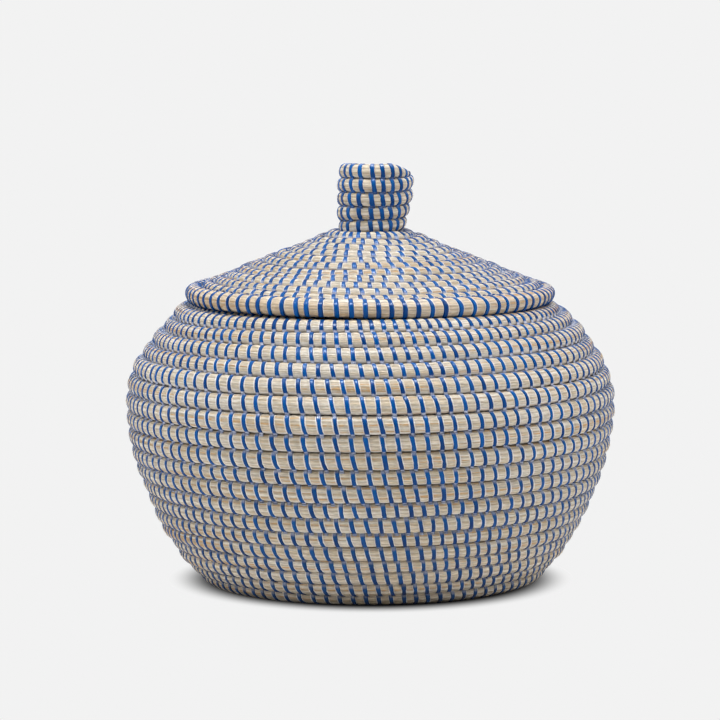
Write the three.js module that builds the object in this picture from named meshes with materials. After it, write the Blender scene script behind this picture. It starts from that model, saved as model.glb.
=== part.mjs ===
import * as THREE from 'three';

// A lidded basket of coiled seagrass: one long bundle of stems wound into a floor, a bellied wall
// and a level mouth, a shallow coned lid with a thicker rim, a ring under the lid that drops into
// the mouth, and a small coiled knob that leans a little.
//
// Lengths are in millimetres, angles in degrees, and a turn is one full loop of a coil. The origin
// is on the ground under the middle of the basket, +Z is up and the front looks towards -Y.

// Bundle
const courseGap = 0.7;
const spliceGap = 0.4;
const roundness = 1;
const groundCut = 0.1;

// Body, on the centre line of its coil
const floorCourse = 8.6;
const footCourse = 8.4;
const bellyCourse = 9.71;
const mouthCourse = 9.2;
const footRadius = 90.4;
const footSlope = 44.1;
const footBend = 5.4;
const bellyRadius = 132.2;
const bellyHeight = 100.1;
const mouthHeight = 152.1;
const mouthRadius = 88.5;
const ledgeWidth = 14.3;
const shoulderSlope = 47;
const ledgeBend = 4.5;
const bodyCoilStart = 154.7;
const mouthTaper = 45;
const middleTaper = 180;

// How long each end of the wall's curve keeps its direction
const footPull = 29.8;
const belowBellyPull = 28.2;
const aboveBellyPull = 16.5;
const shoulderPull = 25;

// Lid
const lidCourse = 7.3;
const rimCourse = 9.8;
const lidSlope = 21.7;
const rimSlope = 23;
const rimBend = 3;
const rimOverlap = 9.6;
const seatGap = 0.3;
const lidLayOver = 180;
const lidCoilStart = 90;
const lidTailCut = 45;

// Ring under the lid
const ringCourse = 8;
const ringCourses = 2;
const ringClearance = 1.5;
const ringCoilStart = -90;

// Knob
const knobCourse = 7.7;
const knobFootRadius = 19.7;
const knobBellyRadius = 21.35;
const knobTopRadius = 20.7;
const knobHeight = 38;
const knobBend = 10;
const knobLean = 5.9;
const knobSink = 0.1;
const knobFit = 0.3;
const knobTuck = 2.4;
const knobCoilEnd = -15;
const knobTaper = 50;

// Sweep
const stepsPerTurn = 16;
const floorSparseRadius = 50;
const knobSparseRadius = 11;
const marchesPerTurn = 96;
const shortestStep = 0.1;
const thinnestEnd = 0.3;

// Cross-sections as [along the wall, out of the wall], in halves of the bundle's height and thickness.
// On the wall the flats meet the neighbouring courses. On the floor the bundle is cut flat below.
const flatHalf = 0.5;
const wallSection = [
  [0, 1], [1, flatHalf], [1, -flatHalf], [0, -1], [-1, -flatHalf], [-1, flatHalf],
];
const floorTop = Math.sqrt(1 - flatHalf * flatHalf);
const floorSide = 1 - 2 * groundCut;
const floorHalf = 1 - (1 - flatHalf) * (floorSide / floorTop);
const floorSection = [
  [floorHalf, floorSide], [1, 0], [flatHalf, -floorTop],
  [-flatHalf, -floorTop], [-1, 0], [-floorHalf, floorSide],
];

const { clamp, lerp, degToRad } = THREE.MathUtils;

// A regular polygon's corners stand out by this much, so that its sides fall short by as much.
const facetSpread = 1 + (1 - Math.cos(Math.PI / stepsPerTurn)) / 2;

/** A unit vector at an angle above the radius. */
function direction(angle) {
  return new THREE.Vector2(Math.cos(degToRad(angle)), Math.sin(degToRad(angle)));
}

/** The place reached from a point by going a distance along a direction. */
function stepFrom(point, heading, distance) {
  return point.clone().addScaledVector(heading, distance);
}

/**
 * A centre line in the half-plane of radius and height, with the side that counts as outside:
 * 1 when the outside is on the left of the way along, -1 when it is on the right.
 */
class Outline {
  constructor(start, outside) {
    this.path = new THREE.Path().moveTo(start.x, start.y);
    this.outside = outside;
  }

  line(end) {
    this.path.lineTo(end.x, end.y);
    return this;
  }

  bend(corner, end) {
    this.path.quadraticCurveTo(corner.x, corner.y, end.x, end.y);
    return this;
  }

  sweep(pullFrom, pullTo, end) {
    this.path.bezierCurveTo(pullFrom.x, pullFrom.y, pullTo.x, pullTo.y, end.x, end.y);
    return this;
  }

  get length() {
    return this.path.getLength();
  }

  /** The place at a length along the line and a distance out of it. */
  place(along, out) {
    const reach = 0.4;
    const middle = clamp(along, reach, this.length - reach);
    const before = this.path.getPoint((middle - reach) / this.length);
    const after = this.path.getPoint((middle + reach) / this.length);
    const heading = after.clone().sub(before).normalize();
    const normal = new THREE.Vector2(-heading.y, heading.x).multiplyScalar(this.outside);
    const point = this.path.getPoint(clamp(middle / this.length, 0, 1));
    return stepFrom(stepFrom(point, heading, along - middle), normal, out);
  }
}

/**
 * The edges of a coil that advances at a steady rate, one course in each turn. courseAt gives the
 * height of a course at a length along the outline. edge(turn) is the near edge of the course
 * there, and the near edge of the next course is one turn further on.
 */
function steadyLaw(length, courseAt, startAngle) {
  const edges = [0];
  while (edges.at(-1) < length + courseAt(length)) {
    edges.push(edges.at(-1) + courseAt(edges.at(-1)) / marchesPerTurn);
  }
  const start = startAngle / 360;
  const edge = (turn) => {
    const march = clamp((turn - start) * marchesPerTurn, 0, edges.length - 1);
    const index = Math.min(Math.floor(march), edges.length - 2);
    return lerp(edges[index], edges[index + 1], march - index);
  };
  const turnAt = (along) => start + edges.findIndex((value) => value >= along) / marchesPerTurn;
  return { edge, turnAt };
}

/**
 * The edges of a coil whose courses lie level and step over to the next one within a short arc,
 * so that the coil is bounded by a circle at both ends, where the bundle runs out to nothing.
 */
function steppedLaw(courses, layOver, startAngle) {
  const start = startAngle / 360;
  const reach = layOver / 360 / 2;
  const share = (turn) => {
    const way = clamp((turn + reach) / (2 * reach), 0, 1);
    return way - Math.sin(2 * Math.PI * way) / (2 * Math.PI);
  };
  const edge = (turn) => {
    const lap = turn - start;
    return courses.reduce((sum, course, index) => sum + course * share(lap - index - 1), 0);
  };
  return { edge, first: start - reach, last: start + courses.length + reach };
}

/** The turns at which a coil's cross-sections stand, closer together where its radius is large. */
function stationsOf({ outline, law, from, to, sparseWithin = 0 }) {
  const stations = [from];
  for (let index = Math.ceil(from * stepsPerTurn); index < to * stepsPerTurn; index += 1) {
    const turn = index / stepsPerTurn;
    const radius = outline.place(law.edge(turn), 0).x;
    const spare = radius < sparseWithin && index % 2 !== 0;
    const clear = Math.min(turn - from, to - turn) * stepsPerTurn > shortestStep;
    if (clear && !spare) {
      stations.push(turn);
    }
  }
  stations.push(to);
  return stations;
}

/** One cross-section of a coil on the wall's own facets: its corners, and the turn it stands at. */
function ringAt(coil, turn) {
  const step = turn * stepsPerTurn;
  const before = fullRingAt(coil, Math.floor(step) / stepsPerTurn);
  const after = fullRingAt(coil, Math.ceil(step) / stepsPerTurn);
  const share = step - Math.floor(step);
  const corners = before.map((corner, index) => corner.clone().lerp(after[index], share));
  return { turn, corners };
}

/** The corners of a coil's cross-section at a turn where the facets meet. */
function fullRingAt(coil, turn) {
  const { outline, law, section, from, to, startTaper = 0, endTaper = 0 } = coil;
  const near = law.edge(turn);
  const far = law.edge(turn + 1) - courseGap;
  const fromStart = startTaper > 0 ? (turn - from) / startTaper : 1;
  const fromEnd = endTaper > 0 ? (to - turn) / endTaper : 1;
  const fullness = lerp(thinnestEnd, 1, clamp(Math.min(fromStart, fromEnd), 0, 1));
  const half = ((far - near) * fullness) / 2;
  const thickness = (far + courseGap - near) * roundness * fullness;
  const angle = turn * 2 * Math.PI;
  return section.map(([across, out]) => {
    const place = outline.place(near + half + across * half, (out * thickness) / 2);
    const radius = Math.max(place.x, 0) * facetSpread;
    const height = coil.onGround ? Math.max(place.y, 0) : place.y;
    return new THREE.Vector3(radius * Math.cos(angle), radius * Math.sin(angle), height);
  });
}

/** The least distance between points of neighbouring turns, on corners, edges and facets. */
function leastGap(rings) {
  const window = 0.25;
  const middle = (a, b) => a.clone().lerp(b, 0.5);
  const samples = rings.flatMap((ring, index) => {
    const around = ring.corners.flatMap((corner, at) => [
      corner, middle(corner, ring.corners[(at + 1) % ring.corners.length]),
    ]);
    const next = rings[index + 1];
    if (!next) {
      return [{ turn: ring.turn, points: around }];
    }
    const between = ring.corners.map((corner, at) => middle(corner, next.corners[at]));
    return [{ turn: ring.turn, points: around }, { turn: (ring.turn + next.turn) / 2, points: between }];
  });
  let least = Infinity;
  samples.forEach((sample, index) => {
    for (const other of samples.slice(index + 1)) {
      const turns = other.turn - sample.turn;
      if (turns > 1 + window) {
        break;
      }
      if (turns < 1 - window) {
        continue;
      }
      for (const point of sample.points) {
        for (const match of other.points) {
          least = Math.min(least, point.distanceTo(match));
        }
      }
    }
  });
  return least;
}

/** The volume inside a closed mesh, negative when its faces point inwards. */
function signedVolume(vertices, indices) {
  let volume = 0;
  for (let at = 0; at < indices.length; at += 3) {
    const [a, b, c] = [0, 1, 2].map((step) => vertices[indices[at + step]]);
    volume += a.dot(b.clone().cross(c)) / 6;
  }
  return volume;
}

/** The solid of a coil: its rings joined into one closed tube with a flat cap at each end. */
function coilMesh(name, coil, material) {
  const rings = stationsOf(coil).map((turn) => ringAt(coil, turn));
  const sides = coil.section.length;
  const vertices = rings.flatMap((ring) => ring.corners);
  const indices = [];
  for (let ring = 0; ring < rings.length - 1; ring += 1) {
    for (let side = 0; side < sides; side += 1) {
      const a = ring * sides + side;
      const b = ring * sides + ((side + 1) % sides);
      indices.push(a, b, b + sides, a, b + sides, a + sides);
    }
  }
  const lastRing = (rings.length - 1) * sides;
  for (let side = 1; side < sides - 1; side += 1) {
    indices.push(0, side + 1, side);
    indices.push(lastRing, lastRing + side, lastRing + side + 1);
  }
  if (signedVolume(vertices, indices) < 0) {
    indices.reverse();
  }
  const geometry = new THREE.BufferGeometry().setFromPoints(vertices);
  geometry.setIndex(indices);
  geometry.computeVertexNormals();
  const mesh = new THREE.Mesh(geometry, material);
  mesh.name = name;
  if (coil.to - coil.from > 1) {
    console.log(`${name}: ${(coil.to - coil.from).toFixed(1)} turns, `
      + `least gap between turns ${leastGap(rings).toFixed(2)} mm`);
  }
  return mesh;
}

/** A dry grass finish in one of its natural tints. */
function seagrass(colour) {
  return new THREE.MeshStandardMaterial({ color: colour, roughness: 0.8, metalness: 0 });
}

/** The nearest turn at which the facets meet. */
function wholeStep(turn) {
  return Math.round(turn * stepsPerTurn) / stepsPerTurn;
}

/** The turn by which a splice gap shortens a coil's end at a radius. */
function spliceTurn(radius) {
  return spliceGap / 2 / (2 * Math.PI * radius);
}

/** The centre line of the body, from the middle of the floor to the edge of the mouth. */
function bodyOutline() {
  const floorHeight = floorCourse * roundness * (0.5 - groundCut);
  const footCorner = new THREE.Vector2(footRadius, floorHeight);
  const footHeading = direction(footSlope);
  const foot = stepFrom(footCorner, footHeading, footBend);
  const belly = new THREE.Vector2(bellyRadius, bellyHeight);
  const ledgeCorner = new THREE.Vector2(mouthRadius + ledgeWidth, mouthHeight);
  const shoulderHeading = direction(-shoulderSlope);
  const shoulder = stepFrom(ledgeCorner, shoulderHeading, ledgeBend);
  const up = new THREE.Vector2(0, 1);
  return new Outline(new THREE.Vector2(0, floorHeight), -1)
    .line(new THREE.Vector2(footRadius - footBend, floorHeight))
    .bend(footCorner, foot)
    .sweep(stepFrom(foot, footHeading, footPull), stepFrom(belly, up, -belowBellyPull), belly)
    .sweep(stepFrom(belly, up, aboveBellyPull), stepFrom(shoulder, shoulderHeading, shoulderPull), shoulder)
    .bend(ledgeCorner, new THREE.Vector2(ledgeCorner.x - ledgeBend, mouthHeight))
    .line(new THREE.Vector2(mouthRadius, mouthHeight));
}

/** The body: a floor coil and three lengths of wall coil, spliced end to end. */
function buildBody() {
  const outline = bodyOutline();
  const curves = outline.path.getCurveLengths();
  const [floorEnd, footEnd, bellyAt] = curves;
  const mouthAt = outline.length;
  const courseAt = (along) => {
    if (along < footEnd) {
      return lerp(floorCourse, footCourse, clamp((along - floorEnd) / (footEnd - floorEnd), 0, 1));
    }
    if (along < bellyAt) {
      return lerp(footCourse, bellyCourse, (along - footEnd) / (bellyAt - footEnd));
    }
    return lerp(bellyCourse, mouthCourse, clamp((along - bellyAt) / (mouthAt - bellyAt), 0, 1));
  };
  const law = steadyLaw(outline.length, courseAt, bodyCoilStart);
  const floorTurn = wholeStep(law.turnAt(floorEnd) - 1);
  const lastTurn = law.turnAt(mouthAt) - 1;
  const body = new THREE.Group();
  body.add(coilMesh('base_coil', {
    outline, law, section: floorSection, from: bodyCoilStart / 360, to: floorTurn - spliceTurn(footRadius),
    startTaper: middleTaper / 360, onGround: true, sparseWithin: floorSparseRadius,
  }, seagrass('#cdb88f')));
  const lengths = [['lower_wall_coil', '#d6c49d'], ['belly_coil', '#cfbc92'], ['shoulder_coil', '#d9c8a2']];
  const share = (lastTurn - floorTurn) / lengths.length;
  lengths.forEach(([name, colour], index) => {
    const isLast = index === lengths.length - 1;
    const from = wholeStep(floorTurn + index * share);
    const to = isLast ? lastTurn : wholeStep(floorTurn + (index + 1) * share);
    body.add(coilMesh(name, {
      outline, law, section: wallSection, onGround: true,
      from: from + spliceTurn(footRadius),
      to: isLast ? to : to - spliceTurn(footRadius),
      endTaper: isLast ? mouthTaper / 360 : 0,
    }, seagrass(colour)));
  });
  return body;
}

/** The lid in its own frame, with height 0 at the lowest point of its rim. */
function buildLid() {
  const lid = new THREE.Group();
  const rimRadius = mouthRadius + rimOverlap;
  const openingRadius = knobFootRadius - knobTuck + knobFit;
  const rimHeading = direction(-rimSlope);
  const slopeHeading = direction(-lidSlope);
  const rimEdge = (rimCourse - courseGap) / 2;
  const rimThick = (rimCourse / 2) * roundness;
  const rimDrop = Math.max(
    rimHeading.x * rimThick, rimHeading.x * rimThick * flatHalf - rimHeading.y * rimEdge,
  );
  const rim = new THREE.Vector2(rimRadius, rimDrop);
  const rimStart = stepFrom(rim, rimHeading, -rimCourse / 2);
  const slant = (rimStart.x - openingRadius) / slopeHeading.x;
  const opening = stepFrom(rimStart, slopeHeading, -slant);
  const outline = new Outline(opening, 1)
    .line(stepFrom(rimStart, slopeHeading, -rimBend))
    .bend(rimStart, stepFrom(rimStart, rimHeading, rimBend))
    .line(stepFrom(rim, rimHeading, rimCourse / 2));
  const rimAt = outline.length - rimCourse;
  const courses = Math.round(rimAt / lidCourse);
  const heights = [...Array(courses).fill(rimAt / courses), rimCourse];
  const law = steppedLaw(heights, lidLayOver, lidCoilStart);
  const rimTurn = wholeStep(law.last - 1 - lidLayOver / 360);
  lid.add(coilMesh('lid_coil', {
    outline, law, section: wallSection,
    from: law.first + lidLayOver / 360 / 2, to: rimTurn - spliceTurn(rimRadius),
  }, seagrass('#d8c7a0')));
  lid.add(coilMesh('lid_rim_coil', {
    outline, law, section: wallSection,
    from: rimTurn + spliceTurn(rimRadius), to: law.last - lidTailCut / 360,
  }, seagrass('#cfb27c')));
  lid.add(buildRing(opening));
  const knob = buildKnob();
  knob.position.z = opening.y - knobSink;
  lid.add(knob);
  return lid;
}

/** The ring sewn under the lid, which drops into the mouth. opening is the top of the lid's slope. */
function buildRing(opening) {
  const thickness = ringCourse * roundness;
  const radius = mouthRadius - ringClearance - thickness / 2;
  const lidUnderside = (place) => opening.y - (place - opening.x) * Math.tan(degToRad(lidSlope))
    - (lidCourse * roundness) / 2 / Math.cos(degToRad(lidSlope));
  const top = lidUnderside(radius + (thickness / 2) * flatHalf) - seatGap;
  const outline = new Outline(new THREE.Vector2(radius, top), 1)
    .line(new THREE.Vector2(radius, top - ringCourse * ringCourses));
  const law = steppedLaw(Array(ringCourses).fill(ringCourse), lidLayOver, ringCoilStart);
  return coilMesh('locating_ring_coil', {
    outline, law, section: wallSection,
    from: law.first + lidLayOver / 360 / 2, to: law.last - lidLayOver / 360 / 2,
  }, seagrass('#c9b186'));
}

/** The knob in its own frame, with height 0 on the centre line of the disc that closes it below. */
function buildKnob() {
  const thickness = knobCourse * roundness;
  const centre = (outer) => outer - thickness / 2;
  const corner = new THREE.Vector2(centre(knobFootRadius), 0);
  const foot = new THREE.Vector2(corner.x, knobBend);
  const top = new THREE.Vector2(centre(knobTopRadius), knobHeight + knobCourse / 2);
  const bulge = 2 * centre(knobBellyRadius) - (foot.x + top.x) / 2;
  const outline = new Outline(new THREE.Vector2(0, 0), -1)
    .line(new THREE.Vector2(corner.x - knobBend, 0))
    .bend(corner, foot)
    .bend(new THREE.Vector2(bulge, (foot.y + top.y) / 2), top);
  const endTurn = knobCoilEnd / 360;
  const length = outline.length;
  const turns = steadyLaw(length, () => knobCourse, 0).turnAt(length - knobCourse);
  const startAngle = (endTurn - turns) * 360;
  const law = steadyLaw(length, () => knobCourse, startAngle);
  const knob = coilMesh('knob_coil', {
    outline, law, section: wallSection, from: endTurn - turns, to: endTurn,
    startTaper: middleTaper / 360, endTaper: knobTaper / 360, sparseWithin: knobSparseRadius,
  }, seagrass('#d8c6a0'));
  const lean = Math.tan(degToRad(knobLean));
  knob.geometry.applyMatrix4(new THREE.Matrix4().makeShear(0, 0, 0, 0, lean, 0));
  return knob;
}

const group = new THREE.Group();
group.add(buildBody());
const lid = buildLid();
lid.position.z = mouthHeight + (mouthCourse * roundness) / 2 + seatGap;
group.add(lid);

export default group;
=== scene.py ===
"""A lidded basket of coiled seagrass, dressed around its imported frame.

The body is one bundle of stems wound into a floor, a bellied wall and a level mouth. The lid is a
second coil with a thicker rim, a ring under it and a small leaning knob. Every bundle is sewn to
the course before it with narrow blue strips. Lengths are in metres, angles in degrees, and a turn
is one full loop of a coil, counted anticlockwise from +X as seen from above.
"""

import logging
import math
from collections.abc import Callable
from dataclasses import dataclass
from enum import Enum, IntEnum

import bpy
import numpy as np
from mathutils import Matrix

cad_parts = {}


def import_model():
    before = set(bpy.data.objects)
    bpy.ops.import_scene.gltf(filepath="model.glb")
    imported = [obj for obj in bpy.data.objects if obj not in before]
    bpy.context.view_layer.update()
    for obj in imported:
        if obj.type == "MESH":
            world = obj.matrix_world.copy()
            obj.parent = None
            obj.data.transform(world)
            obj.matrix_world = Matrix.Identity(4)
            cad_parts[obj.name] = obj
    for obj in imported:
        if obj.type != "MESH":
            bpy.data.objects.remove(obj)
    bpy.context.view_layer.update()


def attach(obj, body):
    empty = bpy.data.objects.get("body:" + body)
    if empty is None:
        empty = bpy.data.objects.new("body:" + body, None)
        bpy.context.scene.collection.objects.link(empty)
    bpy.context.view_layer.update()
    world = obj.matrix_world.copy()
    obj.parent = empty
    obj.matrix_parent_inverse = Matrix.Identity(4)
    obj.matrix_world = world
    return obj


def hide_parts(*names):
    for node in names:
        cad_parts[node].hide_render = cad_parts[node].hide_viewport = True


Point = tuple[float, float]
Place = tuple[float, float, float]
Colour = tuple[float, float, float, float]

# Steps in each turn: of a coil marched along its outline, of a coil's own table, and of the frame.
MARCHES_PER_TURN = 96
SAMPLES_PER_TURN = 400
STEPS_PER_TURN = 16

# The reach over which an outline's direction is taken.
HEADING_REACH = 0.0004

# How many turns before its outline's start a spiral begins, so that its middle is closed.
INNER_TURN = 0.88

# The turns after a coil's start between which it stops reaching in to what it surrounds.
REACH_IN_ENDS = (0.9, 1.1)

# How far the bundle stands over the ground, on which its strips lie.
GROUND_CLEARANCE = 0.00025

BLACK = (0.0, 0.0, 0.0, 1.0)

log = logging.getLogger("basket")


class Outside(Enum):
    """The side of a centre line, looking along it, that counts as outside."""

    LEFT = 1
    RIGHT = -1


class Slot(Enum):
    """The record's finishes."""

    SEAGRASS = "seagrass"
    RIM = "seagrass_rim"
    STRIP = "stitching_strip"


class Rider(Enum):
    """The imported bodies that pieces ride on."""

    BASKET = "basket"
    LID = "lid"


class Draw(IntEnum):
    """What is added to a coil's seed for each of its draws."""

    SWAY = 0
    BULGE = 1
    WANDER = 2
    JITTER = 3
    DRIFT = 4
    FLUTTER = 5
    STEMS = 10


def heading(angle: float) -> np.ndarray:
    """A unit vector at an angle above the radius."""
    return np.array([math.cos(math.radians(angle)), math.sin(math.radians(angle))])


def smooth_step(low: float, high: float, value: np.ndarray) -> np.ndarray:
    """A soft rise from 0 at low to 1 at high."""
    way = np.clip((value - low) / (high - low), 0, 1)
    return way * way * (3 - 2 * way)


def whole_step(turn: float) -> float:
    """The nearest turn at which the frame's facets meet."""
    return math.floor(turn * STEPS_PER_TURN + 0.5) / STEPS_PER_TURN


def grey(tone: float) -> Colour:
    """The plain grey of a tone."""
    return (tone, tone, tone, 1.0)


class Wave:
    """A slow seeded wander along a coil, about as high as its size says."""

    SINES = 7

    def __init__(self, size: float, seed: int, slowest: float = 0.4, fastest: float = 4.0,
                 repeats: bool = False) -> None:
        """Draws the sines that make up the wander.

        Args:
            size: The usual height of the wander.
            seed: The seed of the draw.
            slowest: The fewest cycles in a turn.
            fastest: The most cycles in a turn.
            repeats: Whether every turn wanders like the one before it.
        """
        draw = np.random.default_rng(seed)
        self.rates = draw.uniform(slowest, fastest, self.SINES)
        if repeats:
            self.rates = np.maximum(np.round(self.rates), 1)
        self.starts = draw.uniform(0, 2 * math.pi, self.SINES)
        self.size = size / math.sqrt(self.SINES / 2)

    def at(self, turn: np.ndarray) -> np.ndarray:
        """The wander at each turn."""
        angles = 2 * math.pi * np.multiply.outer(np.asarray(turn, float), self.rates) + self.starts
        return self.size * np.sin(angles).sum(-1)


class Outline:
    """A centre line in the half-plane of radius and height, measured by its own length."""

    LINE_STEPS = 60
    BEND_STEPS = 90
    SWEEP_STEPS = 260

    def __init__(self, start: Point, outside: Outside) -> None:
        """Starts the line at a point.

        Args:
            start: The radius and height of the point.
            outside: The side that counts as outside.
        """
        self.points = [np.asarray(start, float)]
        self.outside = outside
        self.marks: list[int] = []

    def _run(self, points: np.ndarray) -> "Outline":
        """Adds the points of one stretch after its first.

        Args:
            points: The stretch, from the line's end.

        Returns:
            The outline.
        """
        self.points.extend(points[1:])
        self.marks.append(len(self.points) - 1)
        return self

    def line(self, end: Point) -> "Outline":
        """Adds a straight stretch."""
        return self._run(np.linspace(self.points[-1], np.asarray(end, float), self.LINE_STEPS))

    def bend(self, corner: Point, end: Point) -> "Outline":
        """Adds a quadratic stretch that rounds a corner.

        Args:
            corner: The corner.
            end: Where it ends.

        Returns:
            The outline.
        """
        share = np.linspace(0, 1, self.BEND_STEPS)[:, None]
        start, corner, end = (np.asarray(point, float) for point in (self.points[-1], corner, end))
        return self._run((1 - share) ** 2 * start + 2 * share * (1 - share) * corner + share**2 * end)

    def sweep(self, pull_from: Point, pull_to: Point, end: Point) -> "Outline":
        """Adds a cubic stretch with a pull at each end.

        Args:
            pull_from: The pull on its start.
            pull_to: The pull on its end.
            end: Where it ends.

        Returns:
            The outline.
        """
        share = np.linspace(0, 1, self.SWEEP_STEPS)[:, None]
        rest = 1 - share
        a, b, c, d = (np.asarray(point, float) for point in (self.points[-1], pull_from, pull_to, end))
        return self._run(rest**3 * a + 3 * rest**2 * share * b + 3 * rest * share**2 * c + share**3 * d)

    def close(self) -> "Outline":
        """Measures the finished line.

        Returns:
            The outline, with a table of its lengths.
        """
        self.table = np.array(self.points)
        steps = np.linalg.norm(np.diff(self.table, axis=0), axis=1)
        self.lengths = np.concatenate([[0.0], np.cumsum(steps)])
        self.length = float(self.lengths[-1])
        self.ends = [float(self.lengths[mark]) for mark in self.marks]
        return self

    def place(self, along: np.ndarray, out: np.ndarray) -> tuple[np.ndarray, np.ndarray]:
        """The radius and height at lengths along the line and distances out of it.

        Args:
            along: Lengths along the line, also before its start or past its end.
            out: Distances towards the outside.

        Returns:
            The radii and the heights.
        """
        middle = np.clip(along, HEADING_REACH, self.length - HEADING_REACH)
        before = self._point(middle - HEADING_REACH)
        after = self._point(middle + HEADING_REACH)
        ahead = [after[axis] - before[axis] for axis in (0, 1)]
        size = np.hypot(*ahead)
        ahead = [part / size for part in ahead]
        point = self._point(middle)
        side = self.outside.value
        radius = point[0] + ahead[0] * (along - middle) - side * ahead[1] * out
        height = point[1] + ahead[1] * (along - middle) + side * ahead[0] * out
        return radius, height

    def _point(self, along: np.ndarray) -> tuple[np.ndarray, np.ndarray]:
        """The radius and height of the line itself at lengths along it."""
        return (
            np.interp(along, self.lengths, self.table[:, 0]),
            np.interp(along, self.lengths, self.table[:, 1]),
        )


class SteadyLaw:
    """The edges of a coil that advances at a steady rate, one course in each turn."""

    def __init__(self, length: float, course_at: Callable[[float], float], start: float) -> None:
        """Marches along the outline.

        Args:
            length: The outline's length.
            course_at: The height of a course at a length along the outline.
            start: The turn at which the coil starts.
        """
        edges = [0.0]
        while edges[-1] < length + course_at(length):
            edges.append(edges[-1] + course_at(edges[-1]) / MARCHES_PER_TURN)
        self.edges = np.array(edges)
        self.start = start

    def edge(self, turn: np.ndarray) -> np.ndarray:
        """The near edge of the course at each turn."""
        marches = (np.asarray(turn, float) - self.start) * MARCHES_PER_TURN
        return np.interp(marches, np.arange(len(self.edges)), self.edges)

    def turn_at(self, along: float) -> float:
        """The turn at which the near edge reaches a length along the outline."""
        return self.start + int(np.argmax(self.edges >= along)) / MARCHES_PER_TURN


class SteppedLaw:
    """The edges of a coil whose courses lie level and step over within a short arc."""

    def __init__(self, courses: list[float], lay_over: float, start: float) -> None:
        """Keeps the heights of the courses, the arc of a step and the turn of the first step.

        Args:
            courses: The heights of the courses, from the first.
            lay_over: The arc of a step, in degrees.
            start: The turn at the middle of the first step.
        """
        self.courses = courses
        self.reach = lay_over / 360 / 2
        self.start = start
        self.first = start - self.reach
        self.last = start + len(courses) + self.reach

    def edge(self, turn: np.ndarray) -> np.ndarray:
        """The near edge of the course at each turn."""
        lap = np.asarray(turn, float) - self.start
        return sum(course * self._share(lap - index - 1) for index, course in enumerate(self.courses))

    def _share(self, lap: np.ndarray) -> np.ndarray:
        """How far a step has gone, from 0 to 1, on either side of its middle."""
        way = np.clip((lap + self.reach) / (2 * self.reach), 0, 1)
        return way - np.sin(2 * math.pi * way) / (2 * math.pi)


@dataclass(frozen=True)
class Strip:
    """The strip that sews a coil: its width, thickness and lean, and how regularly it lies.

    It strays from an even spacing by a drift, a wander and a flutter, in strips, each with its
    slowest and fastest cycles in a turn, and by a jitter of its own. Near the coil's ends it is calm.
    """

    width: float = 0.00245
    width_change: float = 0.09
    thickness: float = 0.00036
    lean: float = -11.0
    lean_spread: float = 2.2
    drift: float = 0.45
    drift_rates: Point = (0.03, 0.3)
    wander: float = 0.12
    wander_rates: Point = (0.6, 5.4)
    flutter: float = 0.05
    flutter_rates: Point = (3.0, 12.0)
    jitter: float = 0.04
    calm_turns: float = 0.25


@dataclass(frozen=True)
class Bundle:
    """The bundle's cross-section and how far it strays from a plain tube.

    The far side of a coil's last turn has no course beyond it, so its painted groove shade is weaker.
    """

    squareness: float = 2.15
    outer_steps: int = 10
    inner_steps: int = 6
    pinch: float = 0.08
    pinch_reach: Point = (0.13, 0.38)
    narrowing: float = 0.035
    sway: float = 0.00028
    bulge: float = 0.00022
    stem: float = 0.00013
    stem_rates: Point = (2.0, 18.0)
    stem_calm: float = 0.5
    stem_from: float = 0.5
    free_turns: Point = (1.02, 1.0)
    free_light: float = 0.35

    def corners(self) -> np.ndarray:
        """The angles round the section, from the near groove over the crest and back inside.

        Returns:
            The angles, in radians.
        """
        outer = np.linspace(-90, 90, self.outer_steps, endpoint=False)
        inner = np.linspace(90, 270, self.inner_steps, endpoint=False)
        return np.radians(np.concatenate([outer, inner]))

    def section(self, angles: np.ndarray) -> tuple[np.ndarray, np.ndarray]:
        """The places across and out of the bundle, in halves of its size, at angles round it.

        Args:
            angles: The angles, in radians.

        Returns:
            The places across and the places out.
        """
        power = 2 / self.squareness
        across, out = np.sin(angles), np.cos(angles)
        return (np.sign(across) * np.abs(across) ** power, np.sign(out) * np.abs(out) ** power)


# Where a strip lies on the bundle, as places across and out, from the far groove over the crest,
# into the course before, and back round the inside.
STRIP_PATH = np.array([
    (1.0, 0.10), (0.958, 0.365), (0.834, 0.635), (0.635, 0.834), (0.365, 0.958), (0.0, 1.0),
    (-0.365, 0.958), (-0.635, 0.834), (-0.834, 0.64), (-0.98, 0.50), (-1.14, 0.62), (-1.22, 0.44),
    (-1.12, -0.50), (-0.902, -0.61), (-0.61, -0.902), (0.0, -1.0), (0.61, -0.902), (0.902, -0.61),
    (0.99, -0.35),
])

# A strip's own section, as shares of its width and thickness.
STRIP_SECTION = np.array([(-0.5, -0.25), (-0.3, 1.0), (0.3, 1.0), (0.5, -0.25)])

# Where the rings of a bundle stand between one strip and the next.
RING_SHARES = np.array([0.0, 0.16, 0.32, 0.5, 0.68, 0.84])

# Keeps the last place round a strip below the next whole number.
RIBBON_SPARE = 0.01


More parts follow.
